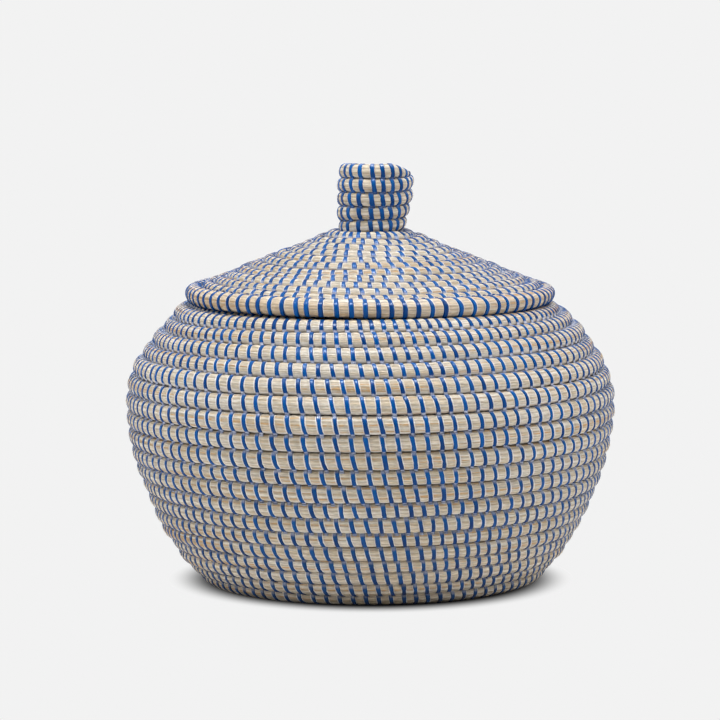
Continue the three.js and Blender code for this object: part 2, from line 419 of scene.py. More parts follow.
@dataclass
class Coil:
    """One unbroken bundle, wound along an outline and sewn with strips.

    It may run out in a taper at its end, down to the share that thinnest gives, reach in at its start
    to what it surrounds, lean, tilt its courses, and stand lifted or cut flat on the ground.
    """

    outline: Outline
    law: SteadyLaw | SteppedLaw
    first: float
    last: float
    strips_per_turn: Callable[[np.ndarray], np.ndarray]
    seed: int
    strip: Strip = Strip()
    bundle: Bundle = Bundle()
    end_taper: float = 0.0
    thinnest: float = 0.3
    reach_in: float = 0.0
    lift: float = 0.0
    lean: float = 0.0
    tilt: float = 0.0
    tilt_rise: float = 0.016
    ground: float | None = None

    def __post_init__(self) -> None:
        """Draws the coil's wander and the turns at which its strips lie."""
        strip, bundle = self.strip, self.bundle
        self.sway = Wave(bundle.sway, self.seed + Draw.SWAY)
        self.bulge = Wave(bundle.bulge, self.seed + Draw.BULGE)
        first_stem = self.seed + Draw.STEMS
        sides = range(first_stem, first_stem + bundle.outer_steps + bundle.inner_steps)
        self.stems = [Wave(bundle.stem, seed, *bundle.stem_rates) for seed in sides]
        samples = int((self.last - self.first) * SAMPLES_PER_TURN) + 2
        turns = np.linspace(self.first, self.last, samples)
        counts = self.strips_per_turn(turns)
        steps = (counts[1:] + counts[:-1]) / 2 * np.diff(turns)
        phase = np.concatenate([[0.0], np.cumsum(steps)])
        fade = np.clip(np.minimum(turns - self.first, self.last - turns) / strip.calm_turns, 0, 1)
        wander = Wave(strip.wander, self.seed + Draw.WANDER, *strip.wander_rates, repeats=True)
        drift = Wave(strip.drift, self.seed + Draw.DRIFT, *strip.drift_rates)
        flutter = Wave(strip.flutter, self.seed + Draw.FLUTTER, *strip.flutter_rates)
        phase = phase + fade * (wander.at(turns) + drift.at(turns) + flutter.at(turns))
        phase = np.maximum.accumulate((phase - phase[0]) * round(phase[-1]) / phase[-1])
        total = round(phase[-1])
        draw = np.random.default_rng(self.seed + Draw.JITTER)
        shift = draw.uniform(-1, 1, total + 1) * strip.jitter
        shift[[0, -1]] = 0
        self.strips = np.interp(np.arange(total + 1) + shift, phase, turns)
        self.widths = strip.width * (1 + draw.uniform(-1, 1, total + 1) * strip.width_change)
        self.leans = strip.lean + draw.normal(0, strip.lean_spread, total + 1)
        self.grid = turns
        self.run = self._lengths(turns)

    def _lengths(self, turns: np.ndarray) -> np.ndarray:
        """The length of the bundle's middle from its start to each turn.

        Args:
            turns: The turns, in order.

        Returns:
            The lengths.
        """
        near, far = self.law.edge(turns), self.law.edge(turns + 1)
        radius, _ = self.outline.place((near + far) / 2, np.zeros_like(near))
        steps = (radius[1:] + radius[:-1]) / 2 * np.diff(turns) * 2 * math.pi
        return np.concatenate([[0.0], np.cumsum(steps)])

    def fullness(self, turn: np.ndarray) -> np.ndarray:
        """How full the bundle is at each turn, below 1 where it runs out."""
        way = (self.last - turn) / self.end_taper if self.end_taper else np.ones_like(turn)
        return self.thinnest + (1 - self.thinnest) * np.clip(way, 0, 1)

    def edge(self, turn: np.ndarray) -> np.ndarray:
        """The near edge of the course at each turn, which is the far edge one turn before."""
        starts, ends = (self.first + turns for turns in REACH_IN_ENDS)
        inward = 1 - smooth_step(starts, ends, turn)
        return self.law.edge(turn) + self.sway.at(turn) - self.reach_in * inward

    def half(self, turn: np.ndarray) -> np.ndarray:
        """Half the bundle's height at each turn."""
        return (self.edge(turn + 1) - self.edge(turn)) * self.fullness(turn) / 2

    def skin(self, turn: np.ndarray, across: np.ndarray, out: np.ndarray, lift: np.ndarray) -> np.ndarray:
        """Points on or over the bundle's surface.

        Args:
            turn: The turn of each point.
            across: Its place across the bundle, in halves of the bundle's height.
            out: Its place out of the bundle, in halves of the bundle's thickness.
            lift: Its distance over the surface, away from the bundle's middle.

        Returns:
            The points, with their coordinates in the last axis.
        """
        half = self.half(turn)
        near = self.edge(turn)
        grow = 1 + lift / half
        along = near + half * (1 + across * grow)
        radius, height = self.outline.place(along, half * out * grow + self.bulge.at(turn))
        radius = np.maximum(radius, 0.0)
        if self.ground is not None:
            height = np.maximum(height, self.ground + np.where(lift > 0, 0.0, GROUND_CLEARANCE))
        angle = 2 * math.pi * turn
        x = radius * np.cos(angle)
        height = height - self.tilt * x * smooth_step(0.0, self.tilt_rise, height)
        return np.stack([x + self.lean * height, radius * np.sin(angle), height + self.lift], -1)

    def slant(self, turn: np.ndarray, across: np.ndarray, lean: np.ndarray) -> np.ndarray:
        """The turn by which a leaning strip is ahead at a place across the bundle.

        Args:
            turn: The turn of its middle.
            across: The place across, in halves of the bundle's height.
            lean: Its lean.

        Returns:
            The part of a turn.
        """
        half = self.half(turn)
        near = self.law.edge(turn)
        radius, _ = self.outline.place(near + half, np.zeros_like(half))
        return np.tan(np.radians(lean)) * across * half / (2 * math.pi * np.maximum(radius, half))

    def nearest(self, turn: float) -> int:
        """The strip that lies nearest to a turn."""
        return int(np.argmin(np.abs(self.strips - turn)))

    def make_bundle(self, name: str, first: float, last: float) -> bpy.types.Object:
        """The bundle between the strips nearest to two turns, as one closed tube.

        Args:
            name: The piece's name.
            first: The turn at which it starts.
            last: The turn at which it ends.

        Returns:
            The piece, with the UV maps "fibre", in metres, and "sewing", in strips.
        """
        bundle = self.bundle
        start, stop = self.nearest(first), self.nearest(last)
        index = np.arange(start, stop)
        rings = len(RING_SHARES)
        shares = np.tile(RING_SHARES, len(index))
        begin, end = (np.repeat(self.strips[number], rings) for number in (index, index + 1))
        turns = np.append(begin + shares * (end - begin), self.strips[stop])
        phase = np.append(np.repeat(index, rings) + shares, stop)
        lean = np.interp(phase, np.arange(len(self.leans)), self.leans)
        angles = bundle.corners()
        across, out = bundle.section(angles)
        share = phase - np.floor(phase)
        pinch = 1 - smooth_step(*bundle.pinch_reach, np.minimum(share, 1 - share))
        turn = turns[:, None] + self.slant(turns[:, None], across[None, :], lean[:, None])
        squeeze = 1 - bundle.pinch * pinch[:, None] * np.abs(out[None, :])
        wide = across[None, :] * (1 - bundle.narrowing * pinch[:, None])
        stems = np.stack([wave.at(turns) for wave in self.stems], -1)
        stems = stems * (1 - bundle.stem_calm * pinch[:, None]) * (np.abs(out) > bundle.stem_from)
        points = self.skin(turn, wide, out[None, :] * squeeze, stems)
        rings, sides = points.shape[:2]
        ring = np.arange(rings - 1)[:, None] * sides
        side = np.arange(sides)[None, :]
        after = (side + 1) % sides
        quads = np.stack([ring + side, ring + after, ring + sides + after, ring + sides + side], -1)
        faces = quads.reshape(-1, 4).tolist()
        faces.append(list(range(sides - 1, -1, -1)))
        faces.append([(rings - 1) * sides + number for number in range(sides)])
        length = np.interp(turns, self.grid, self.run)
        girth = np.append(angles, angles[0] + 2 * math.pi) * float(np.median(self.half(turns)))
        fibre = self._corner_map(length, girth)
        # The far side of the last turn gets less of the painted groove shade, as no course lies over it.
        starts, ends = (self.last - turns_left for turns_left in bundle.free_turns)
        free = smooth_step(starts, ends, turns)[:, None] * (across > 0)
        shaded = across * (1 - bundle.free_light * free)
        sewing = self._corner_map(phase, np.concatenate([shaded, shaded[:, :1]], 1))
        caps = np.zeros((2 * sides, 2))
        piece = make_piece(name, points.reshape(-1, 3), faces)
        add_map(piece, "fibre", np.concatenate([fibre, caps]))
        add_map(piece, "sewing", np.concatenate([sewing, caps]))
        face_outwards(piece)
        return piece

    @staticmethod
    def _corner_map(along: np.ndarray, round_it: np.ndarray) -> np.ndarray:
        """Map coordinates for the corners of every face between two rings.

        Args:
            along: The place of each ring along the bundle.
            round_it: The places round it, the same for all rings or one row for each.

        Returns:
            Two coordinates for each face corner.
        """
        rings, sides = len(along) - 1, round_it.shape[-1] - 1
        round_it = np.broadcast_to(round_it, (rings + 1, sides + 1))
        ring, side = np.meshgrid(np.arange(rings), np.arange(sides), indexing="ij")
        corners = [(ring, side), (ring, side + 1), (ring + 1, side + 1), (ring + 1, side)]
        pairs = [np.stack([along[row], round_it[row, column]], -1) for row, column in corners]
        return np.stack(pairs, 2).reshape(-1, 2)

    def make_strips(self, name: str, first: float, last: float, keep_last: bool) -> bpy.types.Object:
        """The strips that sew the coil between two turns, each a closed loop round the bundle.

        Args:
            name: The piece's name.
            first: The turn at which they start.
            last: The turn at which they end.
            keep_last: Whether the strip at the end belongs to this piece.

        Returns:
            The piece, with the UV map "ribbon": across each strip, and round the bundle with one
            whole number added for each strip.
        """
        start, stop = self.nearest(first), self.nearest(last) + int(keep_last)
        index = np.arange(start, stop)
        turns = self.strips[index][:, None, None]
        across = STRIP_PATH[:, 0][None, :, None]
        out = STRIP_PATH[:, 1][None, :, None] * (1 - self.bundle.pinch)
        half = self.half(turns)
        radius, _ = self.outline.place(self.law.edge(turns) + half, np.zeros_like(half))
        aside = STRIP_SECTION[:, 0][None, None, :] * self.widths[index][:, None, None]
        slant = self.slant(turns, across, self.leans[index][:, None, None])
        turn = turns + slant + aside / (2 * math.pi * np.maximum(radius, half))
        lift = STRIP_SECTION[:, 1][None, None, :] * self.strip.thickness + np.zeros_like(turn)
        points = self.skin(turn, across + np.zeros_like(turn), out + np.zeros_like(turn), lift)
        count, steps, sides = points.shape[:3]
        strip = np.arange(count)[:, None, None] * steps * sides
        step = np.arange(steps)[None, :, None] * sides
        after = (np.arange(steps)[None, :, None] + 1) % steps * sides
        side = np.arange(sides)[None, None, :]
        beside = (side + 1) % sides
        corners = [step + side, step + beside, after + beside, after + side]
        faces = np.stack([strip + corner for corner in corners], -1).reshape(-1, 4).tolist()
        piece = make_piece(name, points.reshape(-1, 3), faces)
        self._crease(piece.data)
        number = np.broadcast_to(np.arange(start, stop)[:, None, None], (count, steps, sides))
        row = np.broadcast_to(np.arange(steps)[None, :, None], (count, steps, sides))
        column = np.broadcast_to(np.arange(sides)[None, None, :], (count, steps, sides))
        places = [(row, column), (row, column + 1), (row + 1, column + 1), (row + 1, column)]
        pairs = [np.stack([c / sides, number + r / (steps + RIBBON_SPARE)], -1) for r, c in places]
        add_map(piece, "ribbon", np.stack(pairs, 3).reshape(-1, 2))
        face_outwards(piece)
        return piece

    @staticmethod
    def _crease(mesh: bpy.types.Mesh) -> None:
        """Marks both edges of each strip's flat face as sharp, so that it shines as a flat strip.

        Args:
            mesh: The strips' mesh.
        """
        ends = np.empty(len(mesh.edges) * 2, np.int32)
        mesh.edges.foreach_get("vertices", ends)
        column = ends.reshape(-1, 2) % len(STRIP_SECTION)
        sharp = (column[:, 0] == column[:, 1]) & (np.abs(STRIP_SECTION[column[:, 0], 0]) < 0.5)
        mesh.edges.foreach_set("use_edge_sharp", sharp)


def make_piece(name: str, points: np.ndarray, faces: list[list[int]]) -> bpy.types.Object:
    """Adds a smooth mesh object at the origin.

    Args:
        name: The piece's name.
        points: Its corners.
        faces: Its faces, as lists of corner numbers.

    Returns:
        The new object.
    """
    mesh = bpy.data.meshes.new(name)
    mesh.from_pydata(points.tolist(), [], faces)
    mesh.polygons.foreach_set("use_smooth", np.ones(len(mesh.polygons), bool))
    mesh.update()
    piece = bpy.data.objects.new(name, mesh)
    bpy.context.scene.collection.objects.link(piece)
    return piece


def add_map(piece: bpy.types.Object, name: str, places: np.ndarray) -> None:
    """Adds a UV map with one place for each face corner."""
    layer = piece.data.uv_layers.new(name=name)
    layer.data.foreach_set("uv", places.astype(np.float32).ravel())


def face_outwards(piece: bpy.types.Object) -> None:
    """Turns all faces round where the mesh encloses a negative volume.

    Args:
        piece: The piece.
    """
    mesh = piece.data
    mesh.calc_loop_triangles()
    corners = np.empty(len(mesh.vertices) * 3, np.float32)
    mesh.vertices.foreach_get("co", corners)
    corners = corners.reshape(-1, 3).astype(float)
    order = np.empty(len(mesh.loop_triangles) * 3, np.int32)
    mesh.loop_triangles.foreach_get("vertices", order)
    a, b, c = (corners[order.reshape(-1, 3)[:, corner]] for corner in range(3))
    if np.einsum("ij,ij->", a, np.cross(b, c)) < 0:
        mesh.flip_normals()


class Graph:
    """A node tree, with short ways to add and join its nodes."""

    # The places of the colours among a Mix node's inputs and outputs.
    COLOURS_IN = (6, 7)
    COLOUR_OUT = 2

    def __init__(self, tree: bpy.types.NodeTree) -> None:
        """Keeps the tree."""
        self.tree = tree

    def add(self, kind: str, **settings: object) -> bpy.types.Node:
        """Adds a node and sets its properties.

        Args:
            kind: The node's type.
            settings: Its properties.

        Returns:
            The node.
        """
        node = self.tree.nodes.new(kind)
        for name, value in settings.items():
            setattr(node, name, value)
        return node

    def feed(self, socket: bpy.types.NodeSocket, value: object) -> None:
        """Joins an output to an input, or sets the input's plain value.

        Args:
            socket: The input.
            value: The output or the plain value.
        """
        if isinstance(value, bpy.types.NodeSocket):
            self.tree.links.new(value, socket)
        else:
            socket.default_value = value

    def math(self, operation: str, first: object, second: object = 0.0, clamp: bool = False) -> object:
        """The output of a math node.

        Args:
            operation: What it does.
            first: Its first value.
            second: Its second value.
            clamp: Whether the result is kept between 0 and 1.

        Returns:
            The output.
        """
        node = self.add("ShaderNodeMath", operation=operation, use_clamp=clamp)
        self.feed(node.inputs[0], first)
        self.feed(node.inputs[1], second)
        return node.outputs[0]

    def times(self, first: object, second: object) -> object:
        """The product of two values."""
        return self.math("MULTIPLY", first, second)

    def plus(self, first: object, second: object) -> object:
        """The sum of two values."""
        return self.math("ADD", first, second)

    def minus(self, first: object, second: object) -> object:
        """The first value less the second."""
        return self.math("SUBTRACT", first, second)

    def rest(self, share: object) -> object:
        """What a share leaves of 1."""
        return self.math("SUBTRACT", 1.0, share)

    def climb(self, value: object, change: float, low: float) -> object:
        """A low number plus a changing part of a value.

        Args:
            value: The value.
            change: How much of it is added.
            low: The low number.

        Returns:
            The output.
        """
        node = self.add("ShaderNodeMath", operation="MULTIPLY_ADD")
        for socket, number in zip(node.inputs, (value, change, low)):
            self.feed(socket, number)
        return node.outputs[0]

    def between(self, value: object, low: float, high: float) -> object:
        """A soft rise of a value from 0 at low to 1 at high.

        Args:
            value: The value.
            low: Where the rise starts.
            high: Where it ends.

        Returns:
            The output.
        """
        node = self.add("ShaderNodeMapRange", interpolation_type="SMOOTHSTEP")
        self.feed(node.inputs["Value"], value)
        self.feed(node.inputs["From Min"], low)
        self.feed(node.inputs["From Max"], high)
        return node.outputs["Result"]

    def blend(self, share: object, first: object, second: object, mode: str = "MIX") -> object:
        """The colour between two colours.

        Args:
            share: How much of the second colour shows.
            first: The first colour.
            second: The second colour.
            mode: How they are joined.

        Returns:
            The output.
        """
        node = self.add("ShaderNodeMix", data_type="RGBA", blend_type=mode)
        self.feed(node.inputs["Factor"], share)
        for place, colour in zip(self.COLOURS_IN, (first, second)):
            self.feed(node.inputs[place], colour)
        return node.outputs[self.COLOUR_OUT]

    def noise(self, vector: object, scale: float, detail: float = 3.0, rough: float = 0.5) -> object:
        """The value of a noise texture.

        Args:
            vector: The place.
            scale: Its scale.
            detail: Its finer layers.
            rough: How strong the finer layers are.

        Returns:
            The output.
        """
        node = self.add("ShaderNodeTexNoise")
        self.feed(node.inputs["Vector"], vector)
        self.feed(node.inputs["Scale"], scale)
        self.feed(node.inputs["Detail"], detail)
        self.feed(node.inputs["Roughness"], rough)
        return node.outputs["Fac"]

    def stretch(self, vector: object, scale: Place) -> object:
        """A vector scaled along each axis.

        Args:
            vector: The vector.
            scale: The three scales.

        Returns:
            The output.
        """
        node = self.add("ShaderNodeMapping")
        self.feed(node.inputs["Vector"], vector)
        node.inputs["Scale"].default_value = scale
        return node.outputs["Vector"]

    def chance(self, value: object) -> object:
        """A random value between 0 and 1 for each whole number.

        Args:
            value: The whole number.

        Returns:
            The output.
        """
        node = self.add("ShaderNodeTexWhiteNoise", noise_dimensions="1D")
        self.feed(node.inputs["W"], value)
        return node.outputs["Value"]

    def uv(self, name: str) -> object:
        """The place on a UV map."""
        return self.add("ShaderNodeUVMap", uv_map=name).outputs["UV"]

    def parts(self, vector: object) -> list[object]:
        """The X, Y and Z of a vector.

        Args:
            vector: The vector.

        Returns:
            The three outputs.
        """
        node = self.add("ShaderNodeSeparateXYZ")
        self.feed(node.inputs[0], vector)
        return list(node.outputs)

    def emboss(self, shader: bpy.types.Node, height: object, strength: float, distance: float) -> None:
        """Bends a shader's normal by a height.

        Args:
            shader: The shader.
            height: The height.
            strength: How strongly the normal bends.
            distance: The height of 1, in metres.
        """
        bump = self.add("ShaderNodeBump")
        bump.inputs["Strength"].default_value = strength
        bump.inputs["Distance"].default_value = distance
        self.feed(bump.inputs["Height"], height)
        self.feed(shader.inputs["Normal"], bump.outputs["Normal"])


def new_material(name: str) -> tuple[bpy.types.Material, Graph, bpy.types.Node]:
    """Starts a material.

    Args:
        name: The material's name.

    Returns:
        The material, its graph and its shader.
    """
    material = bpy.data.materials.new(name)
    material.use_nodes = True
    return material, Graph(material.node_tree), material.node_tree.nodes["Principled BSDF"]


@dataclass(frozen=True)
class Pattern:
    """A stretched noise: how often it changes along a map's U and V, and how fine it is."""

    along_u: float
    along_v: float
    detail: float
    rough: float = 0.5

    def draw(self, graph: Graph, place: object) -> object:
        """The pattern's value at a place on the map."""
        scaled = graph.stretch(place, (self.along_u, self.along_v, 1))
        return graph.noise(scaled, 1.0, self.detail, self.rough)


@dataclass(frozen=True)
class StemGrain:
    """The stems of a bundle, drawn along its length and shared by all seagrass."""

    drift: Pattern = Pattern(18, 40, 2)
    drift_stems: float = 1.4
    cells_along: float = 14.0
    softness: float = 0.35
    fine: Pattern = Pattern(4, 3.5, 4, 0.65)
    fine_share: float = 0.8
    streak: Pattern = Pattern(0.8, 0.9, 3, 0.6)
    fleck: Pattern = Pattern(6, 1.7, 2)
    mottle: Pattern = Pattern(15, 1.3, 3, 0.6)
    line: Pattern = Pattern(0.45, 0.62, 1, 0.4)

    def group(self) -> bpy.types.NodeTree:
        """The stems as a node group.

        Returns:
            A group with the inputs Vector, along and round the bundle in metres, and Stem Width,
            and the outputs Height, Streak, Fleck, Mottle and Line.
        """
        patterns = {"Streak": self.streak, "Fleck": self.fleck, "Mottle": self.mottle, "Line": self.line}
        tree = bpy.data.node_groups.new("stem grain", "ShaderNodeTree")
        tree.interface.new_socket("Vector", in_out="INPUT", socket_type="NodeSocketVector")
        tree.interface.new_socket("Stem Width", in_out="INPUT", socket_type="NodeSocketFloat")
        for name in ("Height", *patterns):
            tree.interface.new_socket(name, in_out="OUTPUT", socket_type="NodeSocketFloat")
        graph = Graph(tree)
        entry = graph.add("NodeGroupInput")
        leave = graph.add("NodeGroupOutput")
        along, around, _ = graph.parts(entry.outputs["Vector"])
        stems = graph.math("DIVIDE", around, entry.outputs["Stem Width"])
        drift = self.drift.draw(graph, entry.outputs["Vector"])
        stems = graph.plus(stems, graph.times(drift, self.drift_stems))
        place = graph.add("ShaderNodeCombineXYZ")
        graph.feed(place.inputs[0], graph.times(along, self.cells_along))
        graph.feed(place.inputs[1], stems)
        ridge = graph.add("ShaderNodeTexVoronoi", feature="SMOOTH_F1", voronoi_dimensions="1D")
        graph.feed(ridge.inputs["W"], stems)
        graph.feed(ridge.inputs["Scale"], 1.0)
        graph.feed(ridge.inputs["Smoothness"], self.softness)
        fine = graph.times(self.fine.draw(graph, place.outputs[0]), self.fine_share)
        graph.feed(leave.inputs["Height"], graph.minus(fine, ridge.outputs["Distance"]))
        for name, pattern in patterns.items():
            graph.feed(leave.inputs[name], pattern.draw(graph, place.outputs[0]))
        return tree


@dataclass(frozen=True)
class Seagrass:
    """Dry seagrass: pale stems with tan and brown streaks, paler beside each strip, with painted shade in
    the grooves between courses and painted light on the stems near the ground.

    A field that ends in "from", "reach" or "breaks" holds the two values between which its mark comes
    or goes, and one that ends in "share" holds how strong the mark is.
    """

    name: str
    pale: Colour
    tan: Colour
    brown: Colour
    fringe: Colour = (0.86, 0.85, 0.84, 1.0)
    region_scale: float = 22.0
    region_share: float = 0.35
    pillow_share: float = 0.05
    warm_cut: float = 0.2
    tan_from: Point = (0.38, 0.61)
    brown_from: Point = (0.64, 0.76)
    brown_share: float = 0.75
    rust: Colour = (0.47, 0.28, 0.11, 1.0)
    rust_from: Point = (0.595, 0.645)
    rust_breaks: Point = (0.34, 0.56)
    rust_share: float = 0.95
    dull: Colour = (0.78, 0.76, 0.73, 1.0)
    lively: Colour = (1.2, 1.19, 1.18, 1.0)
    lively_from: Point = (0.3, 0.7)
    band: Colour = (0.50, 0.33, 0.155, 1.0)
    band_ragged: float = 0.6
    band_from: Point = (0.4, 0.85)
    band_share: float = 0.0
    fleck_from: Point = (0.64, 0.78)
    fleck_share: float = 0.35
    line: Colour = (0.30, 0.22, 0.14, 1.0)
    line_reach: Point = (-0.25, 0.12)
    line_share: float = 0.5
    ragged: float = 0.3
    beside_reach: Point = (0.175, 0.235)
    beside_share: float = 0.75
    low_from: Point = (0.6, 0.8)
    low_share: float = 0.35
    # Painted light: how much lighter the stems are at the ground, and the heights over which it fades
    # out.
    foot_painted_light: Colour = (1.27, 1.25, 1.24, 1.0)
    foot_light_reach: Point = (0.0, 0.045)
    # Painted shade in the groove between courses: its colour, the places across where it comes, and its
    # strength.
    shade: Colour = (0.06, 0.035, 0.018, 1.0)
    groove_shade_from: Point = (0.86, 1.0)
    groove_shade_share: float = 0.62
    stem_width: float = 0.00105
    roughness: float = 0.5
    rough_change: float = 0.25
    specular: float = 0.35
    bump_strength: float = 0.55
    bump_height: float = 0.0006

    def material(self, grain: bpy.types.NodeTree) -> bpy.types.Material:
        """The finish as a material.

        Args:
            grain: The group that draws the stems.

        Returns:
            The material.
        """
        material, graph, shader = new_material(self.name)
        group = graph.add("ShaderNodeGroup", node_tree=grain)
        graph.feed(group.inputs["Vector"], graph.uv("fibre"))
        graph.feed(group.inputs["Stem Width"], self.stem_width)
        stems = group.outputs
        phase, across, _ = graph.parts(graph.uv("sewing"))
        place = graph.add("ShaderNodeTexCoord").outputs["Object"]
        colour = self._stems(graph, stems, phase, place)
        colour = self._marks(graph, stems, across, colour)
        colour = self._edges(graph, stems, phase, across, place, colour)
        graph.feed(shader.inputs["Base Color"], colour)
        rough = graph.climb(stems["Fleck"], self.rough_change, self.roughness)
        graph.feed(shader.inputs["Roughness"], rough)
        shader.inputs["Specular IOR Level"].default_value = self.specular
        graph.emboss(shader, stems["Height"], self.bump_strength, self.bump_height)
        return material

    def _stems(self, graph: Graph, stems: object, phase: object, place: object) -> object:
        """The stems' own colour, from pale over tan to brown, with rust lines and dull patches.

        Args:
            graph: The material's graph.
            stems: The outputs of the stem group.
            phase: The place along the bundle, in strips.
            place: The place on the object.

        Returns:
            The colour.
        """
        pillow = graph.times(graph.chance(graph.math("FLOOR", phase)), self.pillow_share)
        region = graph.times(graph.noise(place, self.region_scale, 2), self.region_share)
        warm = graph.minus(graph.plus(graph.plus(stems["Streak"], region), pillow), self.warm_cut)
        colour = graph.blend(graph.between(warm, *self.tan_from), self.pale, self.tan)
        deep = graph.times(graph.between(stems["Streak"], *self.brown_from), self.brown_share)
        colour = graph.blend(deep, colour, self.brown)
        rust = graph.times(graph.between(stems["Line"], *self.rust_from),
                           graph.between(stems["Mottle"], *self.rust_breaks))
        colour = graph.blend(graph.times(rust, self.rust_share), colour, self.rust)
        patch = graph.blend(graph.between(stems["Mottle"], *self.lively_from), self.dull, self.lively)
        return graph.blend(1.0, colour, patch, "MULTIPLY")

    def _marks(self, graph: Graph, stems: object, across: object, colour: object) -> object:
        """Adds the tan band along the far side, the dark flecks and the lines between stems.

        Args:
            graph: The material's graph.
            stems: The outputs of the stem group.
            across: The place across the bundle, from -1 to 1.
            colour: The colour so far.

        Returns:
            The colour.
        """
        band = graph.plus(across, graph.times(stems["Mottle"], self.band_ragged))
        band = graph.times(graph.between(band, *self.band_from), self.band_share)
        colour = graph.blend(band, colour, self.band)
        dark = graph.times(graph.between(stems["Fleck"], *self.fleck_from), self.fleck_share)
        colour = graph.blend(dark, colour, self.brown)
        lines = graph.rest(graph.between(stems["Height"], *self.line_reach))
        return graph.blend(graph.times(lines, self.line_share), colour, self.line)

    def _edges(self, graph: Graph, stems: object, phase: object, across: object, place: object,
               colour: object) -> object:
        """Adds the pale fringe beside strips, painted light that lightens the foot, and painted shade in
        the groove between courses.

        Args:
            graph: The material's graph.
            stems: The outputs of the stem group.
            phase: The place along the bundle, in strips.
            across: The place across the bundle, from -1 to 1.
            place: The place on the object.
            colour: The colour so far.

        Returns:
            The colour.
        """
        share = graph.math("FRACT", phase)
        gap = graph.math("MINIMUM", share, graph.rest(share))
        beside = graph.times(graph.rest(graph.between(gap, *self.beside_reach)), self.beside_share)
        ragged = graph.times(graph.minus(stems["Fleck"], 0.5), self.ragged)
        low = graph.between(graph.plus(graph.times(across, -1.0), ragged), *self.low_from)
        pale = graph.math("MAXIMUM", beside, graph.times(low, self.low_share))
        colour = graph.blend(pale, colour, self.fringe)
        # Painted light: the stems are lightened towards the ground.
        foot = graph.rest(graph.between(graph.parts(place)[2], *self.foot_light_reach))
        colour = graph.blend(foot, colour, self.foot_painted_light, "MULTIPLY")
        # Painted shade: the stems darken in the groove between courses.
        groove = graph.plus(graph.math("ABSOLUTE", across), ragged)
        groove = graph.times(graph.between(groove, *self.groove_shade_from), self.groove_shade_share)
        return graph.blend(groove, colour, self.shade)


@dataclass(frozen=True)
class BlueStrip:
    """A satin strip, deep blue on its run, with a painted highlight, pale with wear where it dives, pale
    with wear and a painted highlight at its far end, and darker near the ground as painted shade.

    A field that ends in "from" holds the two values between which its mark comes, and one that ends in
    "to" or "reach" those between which it goes: places round the strip from 0 to 1, or heights. One
    that ends in "share" holds how strong the mark is.
    """

    name: str
    # The pale colour of wear where the strip dives, also used for the painted highlight at its far end.
    wear_and_highlight: Colour
    deep: Colour = (0.0, 0.043, 0.2, 1.0)
    bright: Colour = (0.0, 0.1, 0.385, 1.0)
    bright_from: Point = (0.35, 0.95)
    lines: Pattern = Pattern(9, 1.6, 3, 0.6)
    line_share: float = 0.8
    own_share: float = 0.45
    ragged: float = 0.05
    # Painted highlight: a paler blue between two places round the strip.
    painted_highlight: Colour = (0.02, 0.17, 0.52, 1.0)
    painted_highlight_share: float = 0.3
    painted_highlight_from: Point = (-0.3, -0.2)
    painted_highlight_to: Point = (0.16, 0.28)
    near_from: Point = (0.40, 0.425)
    near_to: Point = (0.60, 0.64)
    near_share: float = 0.88
    # Painted highlight with wear: the strip is pale at its far end, up to these places round it.
    far_wear_and_highlight_to: Point = (0.11, 0.18)
    far_wear_and_highlight_share: float = 0.7
    age_shift: float = 0.035
    age_share: float = 0.35
    # Painted shade: the strip darkens towards the ground, below these heights, by low_share.
    ground_shade_reach: Point = (0.0, 0.16)
    low_share: float = 0.34
    roughness: float = 0.13
    rough_change: float = 0.22
    specular: float = 0.17
    bump_strength: float = 0.2
    bump_height: float = 0.0002

    def material(self) -> bpy.types.Material:
        """The finish as a material.

        Returns:
            The material.
        """
        material, graph, shader = new_material(self.name)
        ribbon = graph.uv("ribbon")
        along = graph.parts(ribbon)[1]
        way = graph.math("FRACT", along)
        number = graph.math("FLOOR", along)
        lines = self.lines.draw(graph, ribbon)
        own = graph.times(graph.chance(number), self.own_share)
        tone = graph.plus(graph.times(lines, self.line_share), own)
        colour = graph.blend(graph.between(tone, *self.bright_from), self.deep, self.bright)
        ragged = graph.plus(way, graph.times(graph.minus(lines, 0.5), self.ragged))
        # Painted highlight between two places round the strip.
        painted_highlight = graph.minus(graph.between(ragged, *self.painted_highlight_from), graph.between(ragged, *self.painted_highlight_to))
        colour = graph.blend(graph.times(painted_highlight, self.painted_highlight_share), colour, self.painted_highlight)
        # Half a number more gives each strip a second draw.
        age = graph.chance(graph.plus(number, 0.5))
        wear_and_highlight = self._wear_and_highlight(graph, way, ragged, age)
        colour = graph.blend(wear_and_highlight, colour, self.wear_and_highlight)
        # Painted shade: darker towards the ground.
        height = graph.parts(graph.add("ShaderNodeTexCoord").outputs["Object"])[2]
        low = graph.rest(graph.between(height, *self.ground_shade_reach))
        colour = graph.blend(graph.times(low, self.low_share), colour, BLACK)
        graph.feed(shader.inputs["Base Color"], colour)
        graph.feed(shader.inputs["Roughness"], graph.climb(lines, self.rough_change, self.roughness))
        shader.inputs["Specular IOR Level"].default_value = self.specular
        graph.emboss(shader, lines, self.bump_strength, self.bump_height)
        return material

    def _wear_and_highlight(self, graph: Graph, way: object, ragged: object, age: object) -> object:
        """How much of the pale colour the strip takes: wear where it dives into the course before, and
        wear with a painted highlight at its far end.

        Args:
            graph: The material's graph.
            way: The place round the strip, from 0 to 1.
            ragged: The same with a ragged edge.
            age: The strip's own age, from 0 to 1.

        Returns:
            The share of the pale colour of wear and painted highlight.
        """
        near = graph.minus(graph.between(ragged, *self.near_from), graph.between(way, *self.near_to))
        reach = graph.plus(ragged, graph.times(age, self.age_shift))
        # Pale at the far end: partly wear, partly a painted highlight.
        far = graph.rest(graph.between(reach, *self.far_wear_and_highlight_to))
        wear_and_highlight = graph.math("ADD", graph.times(near, self.near_share), graph.times(far, self.far_wear_and_highlight_share),
                          clamp=True)
        return graph.times(wear_and_highlight, graph.rest(graph.times(age, self.age_share)))


